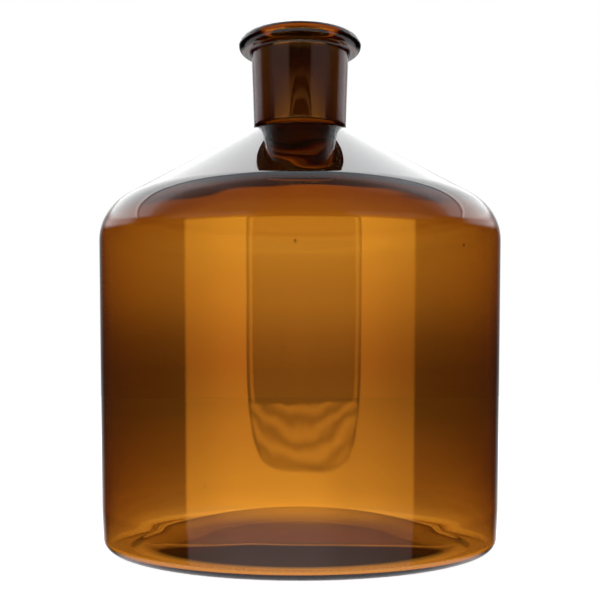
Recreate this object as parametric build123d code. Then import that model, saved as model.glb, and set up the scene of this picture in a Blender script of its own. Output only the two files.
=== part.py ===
from build123d import *
from math import asin, cos, degrees, pi, radians, sin, tan
import os

# An open narrow-mouth reagent bottle of blown glass, drawn in millimetres.
# Origin: centre of the base circle that it stands on. +Z runs up the bottle's axis, out of the mouth.
# The bottle is two glass sections fused end to end: a thick socket and the blown body under it.

# Driving dimensions
TOTAL_HEIGHT = 183.6
BODY_RADIUS = 72.0            # outside, where the wall meets the shoulder
HEEL_WALL_RADIUS = 70.9       # outside, low on the wall, which tapers a little for the mould
WALL = 2.6                    # body glass
CONE_ANGLE = 30.0             # the shoulder's slope, from the horizontal
INNER_CONE_ANGLE = 28.5       # less steep inside, so the glass thickens towards the neck
SHOULDER_RADIUS = 16.8        # outside arc from the wall to the cone
SHOULDER_START = 108.7        # height at which that arc leaves the wall
NECK_FILLET = 1.8             # hollow curve from the cone up to the seal
FILLET_STOP = 25.0            # the seal cuts that curve off this far below its level line
SEAL_RADIUS = 16.1            # outside, where the socket is fused to the body

# Socket: a 29/32 standard ground joint, 1:10 taper on the diameter
JOINT_LENGTH = 32.0
JOINT_TOP_RADIUS = 14.6
JOINT_TAPER = 1 / 20          # radius lost for each millimetre of depth
NECK_TOP_RADIUS = 17.7
NECK_SEAL_RADIUS = 16.75
NECK_EDGE = 0.65              # rounding of the socket's lower outer edge
LIP_RADIUS = 22.3
LIP_THICKNESS = 5.1
LIP_UNDER_FILLET = 1.6
MOUTH_ROUNDING = 1.0

# Foot
HEEL_RADIUS = 4.2
HEEL_OUTSIDE = 70.2           # outside radius just over the heel's arc
HEEL_TUCK_TOP = 14.0          # height at which the tuck over the heel ends
RECESS_RADIUS = 60.5          # inner edge of the ring that it stands on
RECESS_DEPTH = 8.7            # pushed-up base, at the centre
INNER_HEEL_RADIUS = 1.8
FLOOR_HEIGHT = 2.3            # inside, at its lowest, beside the pushed-up centre
FLOOR_CENTRE = 11.5           # inside, at the centre
FLOOR_LOW_RADIUS = 59.0

# Worked out from the dimensions above
LIP_UNDERSIDE = TOTAL_HEIGHT - LIP_THICKNESS
JOINT_BOTTOM = TOTAL_HEIGHT - JOINT_LENGTH
JOINT_BOTTOM_RADIUS = JOINT_TOP_RADIUS - JOINT_LENGTH * JOINT_TAPER
ARC_CENTRE_X = BODY_RADIUS - SHOULDER_RADIUS
CONE_SWEEP = 90.0 - CONE_ANGLE


def on_arc(centre, radius, angle):
    """A point of an arc about this centre, the angle measured up from the level."""
    return (centre[0] + radius * cos(radians(angle)), centre[1] + radius * sin(radians(angle)))


def cone_height(cone_start, radius, slope):
    """Height of a cone line that leaves cone_start and has come in to this radius."""
    return cone_start[1] + (cone_start[0] - radius) * tan(radians(slope))


def dome(edge, centre_height):
    """Three points of a shallow dome, from its edge to the axis, where it lies level."""
    rise = centre_height - edge[1]
    dome_radius = (edge[0] ** 2 + rise ** 2) / (2 * rise)
    centre = (0, centre_height - dome_radius)
    half_angle = degrees(asin(edge[0] / dome_radius)) / 2
    return [edge, on_arc(centre, dome_radius, 90 - half_angle), (0, centre_height)]


# The hollow curve under the seal touches the cone, and its centre follows from that
SHOULDER_CENTRE = (ARC_CENTRE_X, SHOULDER_START)
OUTER_CONE_START = on_arc(SHOULDER_CENTRE, SHOULDER_RADIUS, CONE_SWEEP)
FILLET_X = SEAL_RADIUS + NECK_FILLET * cos(radians(FILLET_STOP))
FILLET_OFFSET = NECK_FILLET / cos(radians(CONE_ANGLE))
FILLET_Z = cone_height(OUTER_CONE_START, FILLET_X, CONE_ANGLE) + FILLET_OFFSET
FILLET_CENTRE = (FILLET_X, FILLET_Z)
SEAL_HEIGHT = FILLET_Z - NECK_FILLET * sin(radians(FILLET_STOP))


def revolve_outline(outline):
    """A solid turned about the bottle's axis from a closed outline in the XZ plane."""
    face = make_face(Plane.XZ * outline)
    return revolve(face, axis=Axis.Z, revolution_arc=360)


def make_neck_socket():
    """Thick neck with the tapered ground bore and the flared lip round the mouth."""
    bead = LIP_THICKNESS / 2
    bead_x = LIP_RADIUS - bead
    edge_centre = (NECK_SEAL_RADIUS - NECK_EDGE, SEAL_HEIGHT + NECK_EDGE)
    fillet_centre = (NECK_TOP_RADIUS + LIP_UNDER_FILLET, LIP_UNDERSIDE - LIP_UNDER_FILLET)
    mouth_centre = (JOINT_TOP_RADIUS + MOUTH_ROUNDING, TOTAL_HEIGHT - MOUTH_ROUNDING)
    edge = [on_arc(edge_centre, NECK_EDGE, angle) for angle in (-90, -45, 0)]
    fillet = [on_arc(fillet_centre, LIP_UNDER_FILLET, angle) for angle in (180, 135, 90)]
    rim = [on_arc((bead_x, TOTAL_HEIGHT - bead), bead, angle) for angle in (-90, 0, 90)]
    mouth = [on_arc(mouth_centre, MOUTH_ROUNDING, angle) for angle in (90, 135, 180)]
    joint_end = (JOINT_BOTTOM_RADIUS, JOINT_BOTTOM)
    seal_inside = (JOINT_BOTTOM_RADIUS, SEAL_HEIGHT)
    outline = Curve() + [
        Line(seal_inside, edge[0]),
        ThreePointArc(*edge),
        Line(edge[-1], fillet[0]),
        ThreePointArc(*fillet),
        Line(fillet[-1], rim[0]),
        ThreePointArc(*rim),
        Line(rim[-1], mouth[0]),
        ThreePointArc(*mouth),
        Line(mouth[-1], joint_end),
        Line(joint_end, seal_inside),
    ]
    return revolve_outline(outline)


def outside_of_body():
    """The body's outside lines, from the foot up to the seal."""
    heel_centre = (HEEL_OUTSIDE - HEEL_RADIUS, HEEL_RADIUS)
    heel = [on_arc(heel_centre, HEEL_RADIUS, angle) for angle in (-90, -45, 0)]
    arc_angles = (0, CONE_SWEEP / 2, CONE_SWEEP)
    shoulder = [on_arc(SHOULDER_CENTRE, SHOULDER_RADIUS, angle) for angle in arc_angles]
    fillet_start = 180 + CONE_SWEEP
    fillet_end = 180 + FILLET_STOP
    fillet_angles = (fillet_start, (fillet_start + fillet_end) / 2, fillet_end)
    hollow = [on_arc(FILLET_CENTRE, NECK_FILLET, angle) for angle in fillet_angles]
    tuck_top = (HEEL_WALL_RADIUS, HEEL_TUCK_TOP)
    return [
        Line((RECESS_RADIUS, 0), heel[0]),
        ThreePointArc(*heel),
        Line(heel[-1], tuck_top),
        Line(tuck_top, shoulder[0]),
        ThreePointArc(*shoulder),
        Line(shoulder[-1], hollow[0]),
        ThreePointArc(*hollow),
    ]


def inside_of_body():
    """The body's inside lines, from the seal down to the middle of the floor."""
    sweep = 90 - INNER_CONE_ANGLE
    arc_angles = (sweep, sweep / 2, 0)
    shoulder = [on_arc(SHOULDER_CENTRE, SHOULDER_RADIUS - WALL, angle) for angle in arc_angles]
    throat_z = cone_height(shoulder[0], JOINT_BOTTOM_RADIUS, INNER_CONE_ANGLE)
    throat_end = (JOINT_BOTTOM_RADIUS, throat_z)
    floor_edge_x = HEEL_WALL_RADIUS - WALL - INNER_HEEL_RADIUS
    heel_centre = (floor_edge_x, FLOOR_HEIGHT + INNER_HEEL_RADIUS)
    heel = [on_arc(heel_centre, INNER_HEEL_RADIUS, angle) for angle in (0, -45, -90)]
    floor_dome = dome((FLOOR_LOW_RADIUS, FLOOR_HEIGHT), FLOOR_CENTRE)
    return [
        Line((JOINT_BOTTOM_RADIUS, SEAL_HEIGHT), throat_end),
        Line(throat_end, shoulder[0]),
        ThreePointArc(*shoulder),
        Line(shoulder[-1], heel[0]),
        ThreePointArc(*heel),
        Line(heel[-1], floor_dome[0]),
        ThreePointArc(*floor_dome),
    ]


def make_bottle_body():
    """Blown body: straight wall, conical shoulder, rounded heel and pushed-up base."""
    recess = dome((RECESS_RADIUS, 0), RECESS_DEPTH)
    outline = Curve() + [
        *outside_of_body(),
        Line((SEAL_RADIUS, SEAL_HEIGHT), (JOINT_BOTTOM_RADIUS, SEAL_HEIGHT)),
        *inside_of_body(),
        Line((0, FLOOR_CENTRE), (0, RECESS_DEPTH)),
        ThreePointArc(*reversed(recess)),
    ]
    return revolve_outline(outline)


def litres_held():
    """The volume inside, taken as a cylinder under a cone."""
    inner_radius = BODY_RADIUS - WALL
    cylinder = pi * inner_radius ** 2 * (SHOULDER_START + SHOULDER_RADIUS / 2 - FLOOR_HEIGHT)
    cone_rise = (inner_radius - JOINT_BOTTOM_RADIUS) * tan(radians(INNER_CONE_ANGLE))
    cone = pi * cone_rise * (inner_radius ** 2 + inner_radius * JOINT_BOTTOM_RADIUS) / 3
    return (cylinder + cone) / 1e6


os.makedirs("parts", exist_ok=True)
export_step(make_neck_socket(), "parts/neck_socket.step")
export_step(make_bottle_body(), "parts/bottle_body.step")
print("seal height", round(SEAL_HEIGHT, 3), "holds about", round(litres_held(), 2), "litres")
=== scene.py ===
"""The looks of an amber ground-joint reagent bottle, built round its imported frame."""

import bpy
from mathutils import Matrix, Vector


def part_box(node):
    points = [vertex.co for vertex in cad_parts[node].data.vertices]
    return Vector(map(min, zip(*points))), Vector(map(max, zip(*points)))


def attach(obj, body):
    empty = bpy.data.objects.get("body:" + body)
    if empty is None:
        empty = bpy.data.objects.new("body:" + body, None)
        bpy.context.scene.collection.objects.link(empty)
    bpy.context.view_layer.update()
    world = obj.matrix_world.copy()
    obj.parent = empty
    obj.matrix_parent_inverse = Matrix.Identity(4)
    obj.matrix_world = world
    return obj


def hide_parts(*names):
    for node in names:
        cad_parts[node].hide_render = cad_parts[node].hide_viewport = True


bl_info = {
    "name": "Amber Reagent Bottle",
    "version": (1, 0, 0),
    "blender": (4, 5, 0),
    "location": "3D View > Sidebar > Bottle",
    "description": "Builds the glass of a ground-joint reagent bottle and a pale studio round it",
    "category": "Object",
}

import math
import random

import bpy
from bpy.props import FloatProperty, FloatVectorProperty, IntProperty, PointerProperty
from bpy.types import Operator, Panel, PropertyGroup
from mathutils import Matrix, Vector

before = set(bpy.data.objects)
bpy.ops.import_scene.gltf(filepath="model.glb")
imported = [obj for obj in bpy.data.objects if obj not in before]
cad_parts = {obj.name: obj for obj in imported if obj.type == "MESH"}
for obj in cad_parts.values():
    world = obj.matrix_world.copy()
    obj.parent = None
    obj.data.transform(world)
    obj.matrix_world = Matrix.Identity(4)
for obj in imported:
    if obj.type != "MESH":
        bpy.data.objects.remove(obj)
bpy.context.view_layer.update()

MM = 0.001
GLASS_MATERIAL = "blown_amber_glass"
SOCKET_LOW, SOCKET_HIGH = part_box("neck_socket")
BODY_LOW, BODY_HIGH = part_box("bottle_body")
HEIGHT = SOCKET_HIGH.z
SEAL_HEIGHT = SOCKET_LOW.z
BODY_RADIUS = min(BODY_HIGH.x, BODY_HIGH.y, -BODY_LOW.x, -BODY_LOW.y)
LIP_RADIUS = min(SOCKET_HIGH.x, SOCKET_HIGH.y, -SOCKET_LOW.x, -SOCKET_LOW.y)


# ---------------------------------------------------------------- settings


def length(name, description, default):
    """A size in metres, with the words that the sidebar shows for it."""
    return FloatProperty(
        name=name, description=description, default=default, min=0.0, unit="LENGTH", precision=5
    )


class BottleShape(PropertyGroup):
    """Sizes of the glass, beyond those that the frame gives."""

    wall: length("Wall", "Thickness of the body's wall", 2.6 * MM)
    heel_wall_radius: length("Heel wall radius", "Outside radius low on the wall", 70.85 * MM)
    heel_outside: length("Heel outside", "Outside radius just over the heel", 70.15 * MM)
    heel_radius: length("Heel radius", "Rounding from the wall to the foot", 4.2 * MM)
    tuck_top: length("Tuck top", "Height at which the tuck over the heel ends", 14 * MM)
    shoulder_radius: length("Shoulder radius", "Outside arc from the wall to the cone", 16.8 * MM)
    shoulder_start: length("Shoulder start", "Height at which that arc leaves the wall", 108.7 * MM)
    cone_angle: FloatProperty(
        name="Cone angle",
        description="Slope of the shoulder, from the level",
        default=math.radians(30),
        subtype="ANGLE",
    )
    inner_cone_angle: FloatProperty(
        name="Inner cone angle",
        description="The same inside, less steep, so that the glass thickens towards the neck",
        default=math.radians(28.5),
        subtype="ANGLE",
    )
    seal_radius: length("Seal radius", "Outside radius where the socket is fused on", 16.1 * MM)
    neck_fillet: length("Neck fillet", "Hollow curve from the cone up to the seal", 1.8 * MM)
    neck_seal_radius: length("Neck low radius", "Neck's outside radius over the seal", 16.75 * MM)
    neck_top_radius: length("Neck top radius", "Neck's outside radius under the lip", 17.7 * MM)
    lip_thickness: length("Lip thickness", "Height of the bead round the mouth", 5.1 * MM)
    joint_top_radius: length("Joint mouth", "Radius of the ground bore at the mouth", 14.6 * MM)
    joint_bottom_radius: length("Joint bottom", "Radius of the bore at its lower end", 13.0 * MM)
    joint_length: length("Joint length", "Depth of the ground bore", 32 * MM)
    recess_radius: length("Recess radius", "Inner edge of the ring that it stands on", 60.5 * MM)
    recess_depth: length("Recess depth", "Rise of the pushed-up base", 8.7 * MM)
    inner_heel_radius: length("Inner heel", "Rounding between wall and floor", 1.8 * MM)
    floor_height: length("Floor height", "Inside floor at its lowest", 2.3 * MM)
    floor_centre: length("Floor centre", "Inside floor at the axis", 11.5 * MM)
    floor_low_radius: length("Floor dome", "Radius of the domed part of the floor", 59 * MM)
    seal_gap: length("Seal gap", "Air left between the two pieces' end faces", 0.01 * MM)
    steps: IntProperty(
        name="Steps", description="Segments round the axis", default=256, min=24, max=512
    )
    seeds: IntProperty(
        name="Seeds", description="Small air bubbles left in the wall", default=16, min=0, max=80
    )


class GlassFinish(PropertyGroup):
    """Colour and surface of the amber glass."""

    absorption: FloatVectorProperty(
        name="Absorption colour",
        description="Light that the glass lets through at its full density",
        default=(0.872, 0.716, 0.33),
        subtype="COLOR",
        min=0.0,
        max=1.0,
    )
    density: FloatProperty(
        name="Absorption density",
        description="How strongly the glass absorbs, for each metre",
        default=1250.0,
        min=0.0,
    )
    ior: FloatProperty(
        name="Index of refraction", description="Of soda-lime glass", default=1.51, min=1.0
    )
    wave_height: length("Wave height", "Unevenness of the blown inner surface", 0.16 * MM)
    wave_length: length("Wave length", "Size of those waves", 34 * MM)
    ground_roughness: FloatProperty(
        name="Ground roughness",
        description="Roughness of the finely ground bore",
        default=0.42,
        min=0.0,
        max=1.0,
    )


class Studio(PropertyGroup):
    """Floor, light and camera."""

    camera_distance: length("Camera distance", "From the bottle's axis", 365.3 * MM)
    camera_height: length("Camera height", "Over the floor", 63.0 * MM)
    lens: FloatProperty(
        name="Lens", description="Focal length on a 36 mm sensor, in millimetres", default=60.0
    )
    view_shift: FloatProperty(
        name="View shift", description="Vertical shift of the level camera", default=0.1167
    )
    floor_radius: length("Floor radius", "Of the pale disc that it stands on", 2100 * MM)
    floor_gap: length("Floor gap", "Air left under the foot", 0.05 * MM)
    backdrop_radius: length("Backdrop radius", "Of the lit sheet all round", 2000 * MM)
    sheet_strength: FloatProperty(
        name="Sheets", description="Brightness of the sheets beside the camera", default=10.0
    )
    ceiling_strength: FloatProperty(
        name="Ceiling", description="Brightness of the light over the bottle", default=2.9
    )
    gap_half_angle: FloatProperty(
        name="Gap",
        description="Half of the opening between the sheets, where the camera looks in",
        default=math.radians(31),
        subtype="ANGLE",
    )
    gap_offset: FloatProperty(
        name="Gap offset",
        description="How far that opening lies to the right of the camera",
        default=math.radians(2.2),
        subtype="ANGLE",
    )
    sheet_end_angle: FloatProperty(
        name="Sheet end",
        description="Where each sheet ends, from the camera's direction",
        default=math.radians(64.5),
        subtype="ANGLE",
    )


# ---------------------------------------------------------------- outlines


def rounded(corners, closed):
    """Points of an outline whose corners (x, z, radius) are rounded by tangent arcs."""
    places = [Vector((x, z)) for x, z, _ in corners]
    points = []
    count = len(corners)
    for index, (x, z, radius) in enumerate(corners):
        at_end = not closed and index in (0, count - 1)
        if at_end or radius == 0:
            points.append(places[index])
            continue
        here = places[index]
        back = (places[index - 1] - here).normalized()
        ahead = (places[(index + 1) % count] - here).normalized()
        half = back.angle(ahead) / 2
        centre = here + (back + ahead).normalized() * (radius / math.sin(half))
        start = here + back * (radius / math.tan(half)) - centre
        turn = math.pi - 2 * half
        if start.x * ahead.y - start.y * ahead.x < 0:
            turn = -turn
        pieces = max(2, math.ceil(abs(turn) / math.radians(5)))
        for step in range(pieces + 1):
            points.append(centre + Matrix.Rotation(turn * step / pieces, 2) @ start)
    return points


def with_supports(points, closed, spacing):
    """The same outline with more points on its long straight runs, close together near their ends."""
    near_ends = (0.5 * MM, 2.0 * MM)
    result = []
    pairs = list(zip(points, points[1:] + points[:1])) if closed else list(zip(points, points[1:]))
    for start, end in pairs:
        run = (end - start).length
        result.append(start)
        if run < 3 * near_ends[1]:
            continue
        middle = max(1, round((run - 2 * near_ends[1]) / spacing))
        stops = list(near_ends)
        stops += [near_ends[1] + (run - 2 * near_ends[1]) * k / middle for k in range(1, middle)]
        stops += [run - near_ends[1], run - near_ends[0]]
        result += [start.lerp(end, stop / run) for stop in stops]
    if not closed:
        result.append(points[-1])
    return result


def dome_points(edge_radius, edge_height, centre_height, count):
    """Points of a shallow dome from the axis out to its edge, the edge left out."""
    rise = centre_height - edge_height
    radius = (edge_radius**2 + rise**2) / (2 * rise)
    full = math.asin(edge_radius / radius)
    angles = [full * step / count for step in range(count)]
    return [
        (radius * math.sin(angle), centre_height - radius * (1 - math.cos(angle)), 0)
        for angle in angles
    ]


def turned_piece(name, points, steps, closed):
    """A glass piece: one vertex is extruded along the outline, which is then spun about the axis."""
    bpy.ops.object.select_all(action="DESELECT")
    bpy.ops.mesh.primitive_plane_add(size=MM, location=(0, 0, 0))
    piece = bpy.context.object
    piece.name = name
    piece.data.name = name
    bpy.ops.object.mode_set(mode="EDIT")
    bpy.ops.mesh.select_mode(type="VERT")
    bpy.ops.mesh.select_all(action="SELECT")
    bpy.ops.mesh.merge(type="CENTER")
    bpy.ops.transform.translate(value=(points[0].x, 0, points[0].y))
    route = points[1:] + points[:1] if closed else points[1:]
    here = points[0]
    for there in route:
        move = there - here
        bpy.ops.mesh.extrude_region_move(TRANSFORM_OT_translate={"value": (move.x, 0, move.y)})
        here = there
    bpy.ops.mesh.select_all(action="SELECT")
    bpy.ops.mesh.remove_doubles(threshold=0.001 * MM)
    bpy.ops.mesh.spin(steps=steps, angle=2 * math.pi, center=(0, 0, 0), axis=(0, 0, 1))
    bpy.ops.mesh.select_all(action="SELECT")
    bpy.ops.mesh.remove_doubles(threshold=0.001 * MM)
    bpy.ops.mesh.normals_make_consistent(inside=False)
    bpy.ops.object.mode_set(mode="OBJECT")
    bpy.ops.object.shade_smooth()
    return piece


# ---------------------------------------------------------------- the socket


def socket_outline(shape):
    """Corners of the neck, lip and ground bore, each with its rounding."""
    lip_under = HEIGHT - shape.lip_thickness
    bead = shape.lip_thickness / 2 * 0.985
    joint_bottom = HEIGHT - shape.joint_length
    bottom = SEAL_HEIGHT + shape.seal_gap
    return [
        (shape.joint_bottom_radius, bottom, 0.12 * MM),
        (shape.neck_seal_radius, bottom, 0.65 * MM),
        (shape.neck_top_radius, lip_under, 1.6 * MM),
        (LIP_RADIUS, lip_under, bead),
        (LIP_RADIUS, HEIGHT, bead),
        (shape.joint_top_radius, HEIGHT, 1.0 * MM),
        (shape.joint_bottom_radius, joint_bottom, 2.0 * MM),
    ]


class BOTTLE_OT_make_socket(Operator):
    """Turn the thick neck with its flared lip and tapered ground bore"""

    bl_idname = "bottle.make_socket"
    bl_label = "Neck Socket"

    def execute(self, context):
        shape = context.scene.bottle_shape
        points = with_supports(rounded(socket_outline(shape), True), True, 3 * MM)
        piece = turned_piece("neck_socket_glass", points, shape.steps, True)
        finish_piece(piece, "neck_socket")
        return {"FINISHED"}


# ---------------------------------------------------------------- the body


def outside_corners(shape):
    """Outside of the body from the axis under the base up to the seal."""
    cone_rise = math.tan(shape.cone_angle)
    turn = math.pi / 2 - shape.cone_angle
    shoulder_top = shape.shoulder_start + shape.shoulder_radius * math.tan(turn / 2)
    fillet_top = SEAL_HEIGHT - shape.seal_gap
    fillet_run = 0.75 * shape.neck_fillet
    cone_end_x = shape.seal_radius + 0.28 * shape.neck_fillet
    cone_end_z = shoulder_top + (BODY_RADIUS - cone_end_x) * cone_rise
    corners = dome_points(shape.recess_radius, 0, shape.recess_depth, 12)
    corners += [
        (shape.recess_radius, 0, 2.5 * MM),
        (shape.heel_outside, 0, shape.heel_radius),
        (shape.heel_wall_radius, shape.tuck_top, 40 * MM),
        (BODY_RADIUS, shoulder_top, shape.shoulder_radius),
        (cone_end_x, cone_end_z, fillet_run * 2),
        (shape.seal_radius, fillet_top, 0.08 * MM),
    ]
    return corners


def inside_corners(shape):
    """Inside of the body from the seal down to the middle of the floor."""
    turn = math.pi / 2 - shape.inner_cone_angle
    inner_arc = shape.shoulder_radius - shape.wall
    inner_radius = BODY_RADIUS - shape.wall
    shoulder_top = shape.shoulder_start + inner_arc * math.tan(turn / 2)
    cone_rise = math.tan(shape.inner_cone_angle)
    throat_height = shoulder_top + (inner_radius - shape.joint_bottom_radius) * cone_rise
    floor_dome = dome_points(shape.floor_low_radius, shape.floor_height, shape.floor_centre, 12)
    return [
        (shape.joint_bottom_radius, SEAL_HEIGHT - shape.seal_gap, 0.08 * MM),
        (shape.joint_bottom_radius, throat_height, 2.5 * MM),
        (inner_radius, shoulder_top, inner_arc),
        (shape.heel_wall_radius - shape.wall, shape.floor_height, shape.inner_heel_radius),
        (shape.floor_low_radius, shape.floor_height, 20 * MM),
        *reversed(floor_dome),
    ]


def is_inside(point, shape):
    """True for a point of the body's inner surface."""
    radius = math.hypot(point.x, point.y)
    under_shoulder = point.z < shape.shoulder_start + shape.shoulder_radius / 2
    if point.z < shape.tuck_top:
        return False
    if under_shoulder:
        return radius < shape.heel_outside - 0.6 * shape.wall
    cone = (point.z - shape.shoulder_start) * math.cos(shape.cone_angle)
    reach = (radius - BODY_RADIUS + shape.shoulder_radius) * math.sin(shape.cone_angle)
    return cone + reach < shape.shoulder_radius - 0.5 * shape.wall


def wave_inside(piece, shape, finish):
    """Give the blown inner surface its long, shallow waves."""
    group = piece.vertex_groups.new(name="inner_surface")
    inner = [v.index for v in piece.data.vertices if is_inside(v.co, shape)]
    group.add(inner, 1.0, "REPLACE")
    clouds = bpy.data.textures.new("glass_waves", "CLOUDS")
    clouds.noise_scale = finish.wave_length
    clouds.noise_depth = 1
    waves = piece.modifiers.new("waves", "DISPLACE")
    waves.texture = clouds
    waves.texture_coords = "LOCAL"
    waves.vertex_group = group.name
    waves.strength = 2 * finish.wave_height
    waves.mid_level = 0.5
    bpy.context.view_layer.objects.active = piece
    bpy.ops.object.modifier_apply(modifier=waves.name)


def make_seed():
    """One air bubble, a little longer than wide, its faces turned to the air inside it."""
    bpy.ops.object.select_all(action="DESELECT")
    bpy.ops.mesh.primitive_uv_sphere_add(segments=16, ring_count=10, radius=0.5)
    seed = bpy.context.object
    bpy.ops.object.mode_set(mode="EDIT")
    bpy.ops.mesh.select_all(action="SELECT")
    bpy.ops.mesh.flip_normals()
    bpy.ops.object.mode_set(mode="OBJECT")
    bpy.ops.object.shade_smooth()
    return seed


def seed_places(shape):
    """Angle from the front, height, and diameter of each air bubble in the wall."""
    near_front = [
        (-0.42, 28 * MM, 0.75 * MM),
        (0.10, 33 * MM, 0.60 * MM),
        (-0.02, 101 * MM, 0.85 * MM),
        (0.33, 58 * MM, 0.45 * MM),
    ]
    dice = random.Random(11)
    others = [
        (dice.uniform(0.6, 5.7), dice.uniform(18, 104) * MM, dice.uniform(0.3, 0.8) * MM)
        for _ in range(max(0, shape.seeds - len(near_front)))
    ]
    return near_front[: shape.seeds] + others


def add_seeds(piece, shape):
    """Join copies of one air bubble into the glass of the wall."""
    if shape.seeds == 0:
        return
    first = make_seed()
    copies = []
    for angle, height, size in seed_places(shape):
        along = (height - shape.tuck_top) / (shape.shoulder_start - shape.tuck_top)
        outside = shape.heel_wall_radius + (BODY_RADIUS - shape.heel_wall_radius) * along
        depth = outside - shape.wall * 0.45
        place = Matrix.Rotation(angle - math.pi / 2, 4, "Z") @ Matrix.Translation((depth, 0, height))
        stretch = Matrix.Diagonal((size * 0.7, size * 0.9, size * 1.5, 1))
        copy = first.copy()
        copy.data = first.data.copy()
        copy.data.transform(place @ stretch)
        bpy.context.collection.objects.link(copy)
        copies.append(copy)
    bpy.data.objects.remove(first)
    bpy.ops.object.select_all(action="DESELECT")
    for copy in copies:
        copy.select_set(True)
    piece.select_set(True)
    bpy.context.view_layer.objects.active = piece
    bpy.ops.object.join()


class BOTTLE_OT_make_body(Operator):
    """Turn the blown body: pushed-up base, heel, wall and conical shoulder"""

    bl_idname = "bottle.make_body"
    bl_label = "Bottle Body"

    def execute(self, context):
        shape = context.scene.bottle_shape
        corners = outside_corners(shape) + inside_corners(shape)
        points = with_supports(rounded(corners, False), False, 5 * MM)
        piece = turned_piece("bottle_body_glass", points, shape.steps, False)
        wave_inside(piece, shape, context.scene.bottle_glass)
        add_seeds(piece, shape)
        finish_piece(piece, "bottle_body")
        return {"FINISHED"}


def finish_piece(piece, node):
    """Give a glass piece its material and its place in the frame."""
    material = bpy.data.materials.get(GLASS_MATERIAL) or make_amber_glass()
    piece.data.materials.clear()
    piece.data.materials.append(material)
    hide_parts(node)
    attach(piece, "root")


# ---------------------------------------------------------------- materials


class Value:
    """A shader socket that Python expressions can work on."""

    def __init__(self, bench, socket):
        self.bench = bench
        self.socket = socket

    def _math(self, operation, *inputs):
        node = self.bench.node("ShaderNodeMath", {"operation": operation}, dict(enumerate(inputs)))
        return node["Value"]

    def __add__(self, other):
        return self._math("ADD", self, other)

    def __sub__(self, other):
        return self._math("SUBTRACT", self, other)

    def __rsub__(self, other):
        return self._math("SUBTRACT", other, self)

    def __mul__(self, other):
        return self._math("MULTIPLY", self, other)

    def __truediv__(self, other):
        return self._math("DIVIDE", self, other)

    def __pow__(self, other):
        return self._math("POWER", self, other)

    __radd__ = __add__

    def absolute(self):
        return self._math("ABSOLUTE", self)

    def sine(self):
        return self._math("SINE", self)

    def smooth(self, low, high):
        """0 below low and 1 above high, with a soft step between them."""
        settings = {"interpolation_type": "SMOOTHSTEP"}
        inputs = {"Value": self, "From Min": low, "From Max": high}
        return self.bench.node("ShaderNodeMapRange", settings, inputs)["Result"]


class Made:
    """A node whose outputs are read by name, as values."""

    def __init__(self, bench, node):
        self.bench = bench
        self.node = node

    def __getitem__(self, name):
        return Value(self.bench, self.node.outputs[name])


class Bench:
    """Builds the nodes of one material or world."""

    def __init__(self, tree):
        self.tree = tree
        self.tree.nodes.clear()

    def node(self, kind, settings=None, inputs=None):
        """Add a node, first with its settings and then with the values or links of its sockets."""
        node = self.tree.nodes.new(kind)
        for name, value in (settings or {}).items():
            if name == "stops":
                self.set_stops(node.color_ramp, value)
            else:
                setattr(node, name, value)
        for name, value in (inputs or {}).items():
            if isinstance(value, Value):
                self.tree.links.new(value.socket, node.inputs[name])
            else:
                node.inputs[name].default_value = value
        return Made(self, node)

    def set_stops(self, ramp, stops):
        """Give a colour ramp its stops, each a place and a brightness or colour."""
        while len(ramp.elements) < len(stops):
            ramp.elements.new(1.0)
        for element, (place, colour) in zip(ramp.elements, stops):
            element.position = place
            bright = colour if isinstance(colour, tuple) else (colour,) * 3
            element.color = (*bright, 1.0)

    def ramp(self, value, stops):
        """A colour looked up by a value from 0 to 1."""
        return self.node("ShaderNodeValToRGB", {"stops": stops}, {"Fac": value})["Color"]

    def scale(self, colour, factor):
        """A colour made brighter or darker."""
        return self.blend("MULTIPLY", 1.0, colour, factor)

    def vector(self, x, y, z):
        """Three values as one vector."""
        return self.node("ShaderNodeCombineXYZ", {}, {"X": x, "Y": y, "Z": z})["Vector"]

    def mix(self, factor, first, second):
        """A colour between two others."""
        return self.blend("MIX", factor, first, second)

    def noise(self, place, scale, **extra):
        """A cloudy value from 0 to 1, finer for a larger scale."""
        inputs = {"Vector": place, "Scale": scale, **extra}
        return self.node("ShaderNodeTexNoise", {}, inputs)["Fac"]

    def stretch(self, place, scale):
        """The same place, with each axis multiplied."""
        inputs = {"Vector": place, "Scale": scale}
        return self.node("ShaderNodeMapping", {"vector_type": "POINT"}, inputs)["Vector"]

    def matte(self, base, roughness, specular, light):
        """A dull surface that gives light of its own."""
        inputs = {
            "Base Color": (*base, 1.0),
            "Roughness": roughness,
            "Specular IOR Level": specular,
            "Emission Color": light,
            "Emission Strength": 1.0,
        }
        return self.node("ShaderNodeBsdfPrincipled", {}, inputs)["BSDF"]

    def blend(self, kind, factor, first, second):
        """Two colours blended in the named way, by a factor."""
        names = {"A": first, "B": second}
        node = self.tree.nodes.new("ShaderNodeMix")
        node.data_type = "RGBA"
        node.blend_type = kind
        sockets = {s.name: s for s in node.inputs if s.type == "RGBA"}
        for name, value in names.items():
            if isinstance(value, Value):
                self.tree.links.new(value.socket, sockets[name])
            else:
                sockets[name].default_value = (*value, 1.0)
        if isinstance(factor, Value):
            self.tree.links.new(factor.socket, node.inputs[0])
        else:
            node.inputs[0].default_value = factor
        return Value(self, next(s for s in node.outputs if s.type == "RGBA"))


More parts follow.
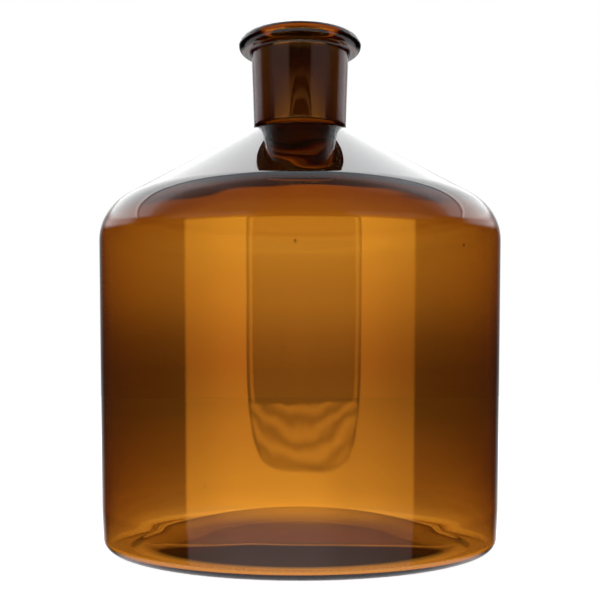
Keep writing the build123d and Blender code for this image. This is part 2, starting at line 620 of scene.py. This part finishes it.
def make_amber_glass():
    """Clear amber glass, with a finely ground surface inside the socket and a worn foot ring."""
    shape = bpy.context.scene.bottle_shape
    finish = bpy.context.scene.bottle_glass
    material = bpy.data.materials.new(GLASS_MATERIAL)
    material.use_nodes = True
    bench = Bench(material.node_tree)
    place = bench.node("ShaderNodeTexCoord")["Object"]
    axes = bench.node("ShaderNodeSeparateXYZ", inputs={"Vector": place})
    x, y, z = axes["X"], axes["Y"], axes["Z"]
    radius = (x * x + y * y) ** 0.5

    bore_limit = (shape.joint_top_radius + shape.neck_seal_radius) / 2
    joint_bottom = HEIGHT - shape.joint_length
    in_bore = 1 - radius.smooth(bore_limit, bore_limit + 0.2 * MM)
    above_end = z.smooth(joint_bottom, joint_bottom + 0.6 * MM)
    below_mouth = 1 - z.smooth(HEIGHT - 1.8 * MM, HEIGHT - 1.3 * MM)
    ground = in_bore * above_end * below_mouth

    # rings left by the grinding cone, and the grain of the abrasive
    rings = bench.noise(bench.stretch(place, (60, 60, 2600)), 1.0, Detail=3.0)
    grain = bench.noise(place, 5200.0, Detail=2.0)

    # faint handling marks, and a scuffed ring under the foot
    marks = bench.noise(place, 42.0, Detail=5.0, Roughness=0.62).smooth(0.56, 0.78)
    scuffs = bench.noise(place, 900.0, Detail=4.0)
    on_ring = radius.smooth(shape.recess_radius, shape.recess_radius + 1.5 * MM)
    foot = (1 - z.smooth(0.05 * MM, 0.35 * MM)) * on_ring
    clear = marks * 0.012
    worn = foot * scuffs.smooth(0.35, 0.7) * 0.35
    roughness = clear + worn + ground * (finish.ground_roughness + (rings - 0.5) * 0.12)

    # painted shade: the ground bore gets a dark brown base colour, which darkens the light through it
    colour_with_painted_bore_shade = bench.mix(ground * (0.75 + grain * 0.25), (1.0, 1.0, 1.0), (0.08, 0.03, 0.02))

    # shallow waves of the blown surface: long ones all over and level ones from the mould
    swell = bench.noise(place, 24.0, Detail=1.0)
    drawn = bench.noise(bench.stretch(place, (9, 9, 95)), 1.0, Detail=1.5)
    height = swell * 0.00010 + drawn * 0.000018 + ground * (rings * 0.00003 + grain * 0.00002)
    bump = bench.node(
        "ShaderNodeBump", {}, {"Strength": 1.0, "Distance": 1.0, "Height": height}
    )["Normal"]

    glass = bench.node(
        "ShaderNodeBsdfPrincipled",
        {},
        {
            "Base Color": colour_with_painted_bore_shade,
            "Roughness": roughness,
            "IOR": finish.ior,
            "Transmission Weight": 1.0,
            "Normal": bump,
        },
    )
    inside = bench.node(
        "ShaderNodeVolumeAbsorption",
        {},
        {"Color": (*finish.absorption, 1.0), "Density": finish.density},
    )
    bench.node(
        "ShaderNodeOutputMaterial",
        {},
        {"Surface": glass["BSDF"], "Volume": inside["Volume"]},
    )
    return material


# ---------------------------------------------------------------- the studio

# painted light and shadow of the floor as the glass shows it, by distance as a share of the floor's
# radius: a dark disc of painted shadow under the bottle, then a painted pool of light that fades
# outwards
FLOOR_POOL = [
    (0.0, (0.01, 0.01, 0.01)),
    (0.0262, (0.01, 0.01, 0.01)),
    (0.0278, (1.6, 1.5, 1.5)),
    (0.0357, (1.35, 1.35, 1.35)),
    (0.0445, (0.95, 0.90, 0.90)),
    (0.063, (0.69, 0.60, 0.60)),
    (0.10, (0.51, 0.42, 0.42)),
    (0.16, (0.41, 0.32, 0.33)),
    (0.26, (0.34, 0.26, 0.28)),
    (0.5, (0.25, 0.20, 0.21)),
    (0.95, (0.22, 0.18, 0.19)),
]

# light of the backdrop, by height in metres
BACKDROP_TOP = 1.0
BACKDROP = [
    (0.0, (0.36, 0.30, 0.32)),
    (0.063, (0.36, 0.29, 0.31)),
    (0.134, (0.50, 0.42, 0.44)),
    (0.226, (0.80, 0.74, 0.76)),
    (0.370, (0.97, 0.97, 0.97)),
    (0.490, (0.95, 0.92, 0.92)),
    (0.600, (0.72, 0.60, 0.60)),
    (0.700, (0.68, 0.54, 0.54)),
    (0.750, (0.02, 0.02, 0.02)),
    (1.0, (0.01, 0.01, 0.01)),
]

# A reflected ray's rise is its part along +Z. These are the lit sheets' light by rise.
LOW_RISE, HIGH_RISE = -0.25, 0.35
SHEETS = [
    (-0.20, (0.13, 0.10, 0.10)),
    (-0.175, (0.14, 0.11, 0.09)),
    (-0.152, (0.92, 0.36, 0.03)),
    (-0.13, (0.88, 0.35, 0.028)),
    (-0.07, (0.74, 0.25, 0.020)),
    (-0.01, (0.58, 0.16, 0.013)),
    (0.07, (0.61, 0.22, 0.018)),
    (0.13, (0.76, 0.34, 0.028)),
    (0.145, (0.62, 0.25, 0.020)),
    (0.155, (0.42, 0.15, 0.012)),
    (0.17, (0.25, 0.10, 0.020)),
]

# the opening between the sheets: middle and half of its height, as rises
OPENING_RISE, OPENING_HALF = 0.045, 0.17

# radians of crease in the opening, for each unit of rise
CREASE_RATE = 300.0

# light over the sheets, from the camera's side at 0 round to the far side at 1
OVER_SHEETS_FROM, OVER_SHEETS_TO = 0.17, 0.23
OVER_SHEETS = [
    (0.13, (0.03, 0.02, 0.02)),
    (0.16, (0.60, 0.38, 0.36)),
    (0.36, (0.55, 0.36, 0.32)),
    (0.45, (0.30, 0.14, 0.05)),
    (0.56, (0.30, 0.14, 0.05)),
    (0.62, (1.0, 0.95, 0.97)),
    (0.78, (1.2, 1.15, 1.2)),
    (0.86, (0.05, 0.04, 0.04)),
]

# light overhead, from the far horizon at 0 over the top to the near horizon at 1
CEILING_FROM, CEILING_TO = 0.26, 0.34
CEILING = [
    (0.0, (0.8, 0.8, 0.8)),
    (0.13, (0.8, 0.8, 0.8)),
    (0.29, (0.78, 0.79, 0.8)),
    (0.305, (0.10, 0.10, 0.11)),
    (0.33, (0.24, 0.26, 0.28)),
    (0.42, (0.22, 0.24, 0.26)),
    (0.50, (0.10, 0.09, 0.09)),
    (0.62, (0.04, 0.03, 0.03)),
    (1.0, (0.03, 0.02, 0.02)),
]

# light behind the bottle, which its rim reflects, from straight below at 0 to straight above at 1
RIM = [(0.42, 0.9), (0.5, 0.3), (0.56, 0.35), (0.62, 1.0)]


def make_floor(studio):
    """A pale disc; through the glass it shows a painted pool of light round a dark middle of painted
    shadow.
    """
    bpy.ops.object.select_all(action="DESELECT")
    bpy.ops.mesh.primitive_circle_add(
        vertices=128,
        radius=studio.floor_radius,
        fill_type="NGON",
        location=(0, 0, -studio.floor_gap),
    )
    floor = bpy.context.object
    floor.name = "floor"
    floor.visible_glossy = False
    material = bpy.data.materials.new("pale_floor")
    material.use_nodes = True
    bench = Bench(material.node_tree)
    place = bench.node("ShaderNodeTexCoord")["Object"]
    distance = bench.node("ShaderNodeVectorMath", {"operation": "LENGTH"}, {0: place})["Value"]
    axes = bench.node("ShaderNodeSeparateXYZ", inputs={"Vector": place})
    # the painted pool of light is dimmer to either side
    aside = axes["X"].absolute().smooth(0.03, 0.25)
    share = distance / studio.floor_radius
    pool = bench.ramp(share, FLOOR_POOL)
    pooled = bench.matte((0.02, 0.02, 0.02), 0.8, 0.1, bench.scale(pool, 1 - aside * 0.35))
    # seen directly, the floor glows brighter under and round the foot: painted light that hides the
    # bottle's contact shadow
    glow = bench.ramp(share, [(0.0, 0.85), (0.036, 0.85), (0.05, 0.6)])
    plain = bench.matte((0.8, 0.8, 0.8), 0.8, 0.1, glow)
    direct = bench.node("ShaderNodeLightPath")["Is Camera Ray"]
    surface = bench.node("ShaderNodeMixShader", {}, {0: direct, 1: pooled, 2: plain})["Shader"]
    bench.node("ShaderNodeOutputMaterial", {}, {"Surface": surface})
    floor.data.materials.append(material)


def level_stops(stops):
    """Stops placed by how steeply a ray rises, between LOW_RISE and HIGH_RISE."""
    return [((rise - LOW_RISE) / (HIGH_RISE - LOW_RISE), colour) for rise, colour in stops]


def backdrop_light(bench, height):
    """Colour of the backdrop at a height: dim low down, bright half way up, dark at the top."""
    top = BACKDROP_TOP
    return bench.ramp(height / top, [(place / top, light) for place, light in BACKDROP])


def make_backdrop(studio):
    """A lit sheet that curves all round behind, seen only through the glass."""
    bpy.ops.object.select_all(action="DESELECT")
    bpy.ops.mesh.primitive_cylinder_add(
        vertices=96,
        radius=studio.backdrop_radius,
        depth=BACKDROP_TOP,
        end_fill_type="NOTHING",
        location=(0, 0, BACKDROP_TOP / 2),
    )
    bpy.ops.object.transform_apply()
    backdrop = bpy.context.object
    backdrop.name = "backdrop"
    backdrop.visible_camera = False
    backdrop.visible_diffuse = False
    backdrop.visible_glossy = False
    backdrop.visible_shadow = False
    material = bpy.data.materials.new("lit_backdrop")
    material.use_nodes = True
    bench = Bench(material.node_tree)
    place = bench.node("ShaderNodeTexCoord")["Object"]
    axes = bench.node("ShaderNodeSeparateXYZ", inputs={"Vector": place})
    x, z = axes["X"], axes["Z"]
    sides = (x / studio.backdrop_radius).absolute().smooth(0.03, 0.2)
    dim = 1 - sides * (0.4 - z.smooth(0.1, 0.35) * 0.25)
    light = bench.scale(backdrop_light(bench, z), dim)
    glow = bench.matte((0.0, 0.0, 0.0), 1.0, 0.0, light)
    bench.node("ShaderNodeOutputMaterial", {}, {"Surface": glow})
    backdrop.data.materials.append(material)


def sheet_gloss(bench, studio, turn, z):
    """The lit sheets beside the camera, a painted reflection seen only by reflected rays, with a
    rounded opening between them.
    """
    height = (z - LOW_RISE) / (HIGH_RISE - LOW_RISE)
    sheets = bench.ramp(height, level_stops(SHEETS))
    aside = turn.absolute()
    gap, end = studio.gap_half_angle, studio.sheet_end_angle
    fall = 1 - aside.smooth(gap, end) * 0.32
    right_side = turn.smooth(0.1, 0.5) * 0.28 * (1 - z.smooth(0.03, 0.13))
    lit = bench.scale(sheets, fall * (1 - right_side) * studio.sheet_strength)

    # the opening is a tall rectangle with well rounded corners, framed by a dark and a lit line
    centred = (turn - studio.gap_offset).absolute()
    across = (centred / gap) ** 4
    along = ((z - OPENING_RISE).absolute() / OPENING_HALF) ** 4
    outline = (across + along) ** 0.25
    wave = bench.node(
        "ShaderNodeTexNoise",
        {"noise_dimensions": "2D"},
        {"Vector": bench.vector(turn * 1.6, z * 9.0, 0.0), "Scale": 2.0, "Detail": 4.0},
    )["Fac"]
    sag = (1 - centred / gap * centred / gap) * 0.035
    folds = ((z + sag + wave * 0.03) * CREASE_RATE).sine() * 0.5 + 0.5
    creased = 1 - (z + wave * 0.02).smooth(-0.051, -0.046)
    opening = 1 - outline.smooth(0.985, 1.0)
    dark_line = outline.smooth(0.95, 0.975) * (1 - outline.smooth(0.99, 1.015))
    lit_line = outline.smooth(0.88, 0.90) * (1 - outline.smooth(0.935, 0.955))
    lit_line = lit_line * z.smooth(-0.062, -0.052)
    share = 0.16 + z.smooth(0.06, 0.12) * 0.34 - z.smooth(0.125, 0.155) * 0.44
    inner = bench.scale(sheets, share * studio.sheet_strength)
    creases = bench.scale(sheets, (folds * 0.45 + 0.36) * studio.sheet_strength)
    inner = bench.mix(creased, inner, creases)
    inner = bench.mix(lit_line * 0.55, inner, lit)
    front = bench.mix(opening, lit, inner)
    front = bench.scale(front, 1 - dark_line * 0.45)
    beyond = aside.smooth(end - 0.025, end + 0.025)
    return bench.mix(beyond, front, (0.01, 0.01, 0.012))


def make_world(studio):
    """Soft light: plain white to the eye, nearly dark through the glass, sheets in its gloss, which
    is a painted reflection seen only by reflected rays.
    """
    world = bpy.data.worlds.new("studio")
    bpy.context.scene.world = world
    world.use_nodes = True
    bench = Bench(world.node_tree)
    way = bench.node("ShaderNodeTexCoord")["Generated"]
    axes = bench.node("ShaderNodeSeparateXYZ", inputs={"Vector": way})
    x, y, z = axes["X"], axes["Y"], axes["Z"]
    turn = bench.node("ShaderNodeMath", {"operation": "ARCTAN2"}, {0: x, 1: y * -1.0})["Value"]
    # 0 at the horizon behind the bottle, 0.5 straight up, 1 at the horizon behind the camera
    over = bench.node("ShaderNodeMath", {"operation": "ARCTAN2"}, {0: z, 1: y})["Value"] / math.pi

    gloss = sheet_gloss(bench, studio, turn, z)
    high = bench.ramp(turn.absolute() / math.pi, OVER_SHEETS)
    gloss = bench.mix(z.smooth(OVER_SHEETS_FROM, OVER_SHEETS_TO), gloss, high)
    ceiling = bench.ramp(over, CEILING)
    wide = 1 + x.absolute().smooth(0.1, 0.5) * over.smooth(0.27, 0.31)
    ceiling = bench.scale(ceiling, wide * studio.ceiling_strength)
    overhead = z.smooth(CEILING_FROM, CEILING_TO)
    gloss = bench.mix(overhead, gloss, ceiling)
    behind = turn.absolute().smooth(2.55, 2.9)
    rim = bench.ramp(z * 0.5 + 0.5, RIM)
    gloss = bench.mix(behind * (1 - overhead), gloss, rim)

    below = 1 - z.smooth(-0.5, -0.3)
    gloss = bench.mix(below, gloss, (1.0, 0.97, 1.0))

    path = bench.node("ShaderNodeLightPath")
    through = bench.mix(z.smooth(0.6, 0.85), (0.01, 0.01, 0.01), (0.12, 0.12, 0.12))
    seen = bench.mix(path["Is Reflection Ray"], through, gloss)
    seen = bench.mix(path["Is Diffuse Ray"], seen, (1.2, 1.2, 1.2))
    seen = bench.mix(path["Is Camera Ray"], seen, (1.0, 1.0, 1.0))
    light = bench.node("ShaderNodeBackground", {}, {"Color": seen, "Strength": 1.0})
    bench.node("ShaderNodeOutputWorld", {}, {"Surface": light["Background"]})


def make_camera(studio):
    """A level camera in front of the bottle."""
    data = bpy.data.cameras.new("camera")
    camera = bpy.data.objects.new("camera", data)
    bpy.context.scene.collection.objects.link(camera)
    camera.location = (0, -studio.camera_distance, studio.camera_height)
    camera.rotation_euler = (math.pi / 2, 0, 0)
    data.lens = studio.lens
    data.sensor_width = 36
    data.shift_y = studio.view_shift
    bpy.context.scene.camera = camera


class BOTTLE_OT_make_studio(Operator):
    """Set up the pale floor, the soft light and the camera"""

    bl_idname = "bottle.make_studio"
    bl_label = "Studio"

    def execute(self, context):
        studio = context.scene.bottle_studio
        make_floor(studio)
        make_backdrop(studio)
        make_world(studio)
        make_camera(studio)
        scene = context.scene
        scene.view_settings.view_transform = "Standard"
        scene.cycles.max_bounces = 24
        scene.cycles.transmission_bounces = 24
        scene.cycles.glossy_bounces = 12
        return {"FINISHED"}


# ---------------------------------------------------------------- the add-on


class BOTTLE_PT_sidebar(Panel):
    """Lists the steps and the settings of the bottle"""

    bl_idname = "BOTTLE_PT_sidebar"
    bl_label = "Reagent Bottle"
    bl_space_type = "VIEW_3D"
    bl_region_type = "UI"
    bl_category = "Bottle"

    def draw(self, context):
        layout = self.layout
        for operator in OPERATORS:
            layout.operator(operator.bl_idname)
        for attribute, group in SETTINGS.items():
            box = layout.box()
            settings = getattr(context.scene, attribute)
            for name in group.__annotations__:
                box.prop(settings, name)


OPERATORS = (BOTTLE_OT_make_body, BOTTLE_OT_make_socket, BOTTLE_OT_make_studio)
SETTINGS = {"bottle_shape": BottleShape, "bottle_glass": GlassFinish, "bottle_studio": Studio}
CLASSES = (*SETTINGS.values(), *OPERATORS, BOTTLE_PT_sidebar)


def register():
    """Make the classes known and hang the settings on the scene."""
    for kind in CLASSES:
        bpy.utils.register_class(kind)
    for attribute, group in SETTINGS.items():
        setattr(bpy.types.Scene, attribute, PointerProperty(type=group))


def unregister():
    """Take the settings and the classes away again."""
    for attribute in SETTINGS:
        delattr(bpy.types.Scene, attribute)
    for kind in reversed(CLASSES):
        bpy.utils.unregister_class(kind)


def main():
    """Build the whole bottle and its studio."""
    register()
    bpy.ops.bottle.make_body()
    bpy.ops.bottle.make_socket()
    bpy.ops.bottle.make_studio()


if __name__ == "__main__":
    main()
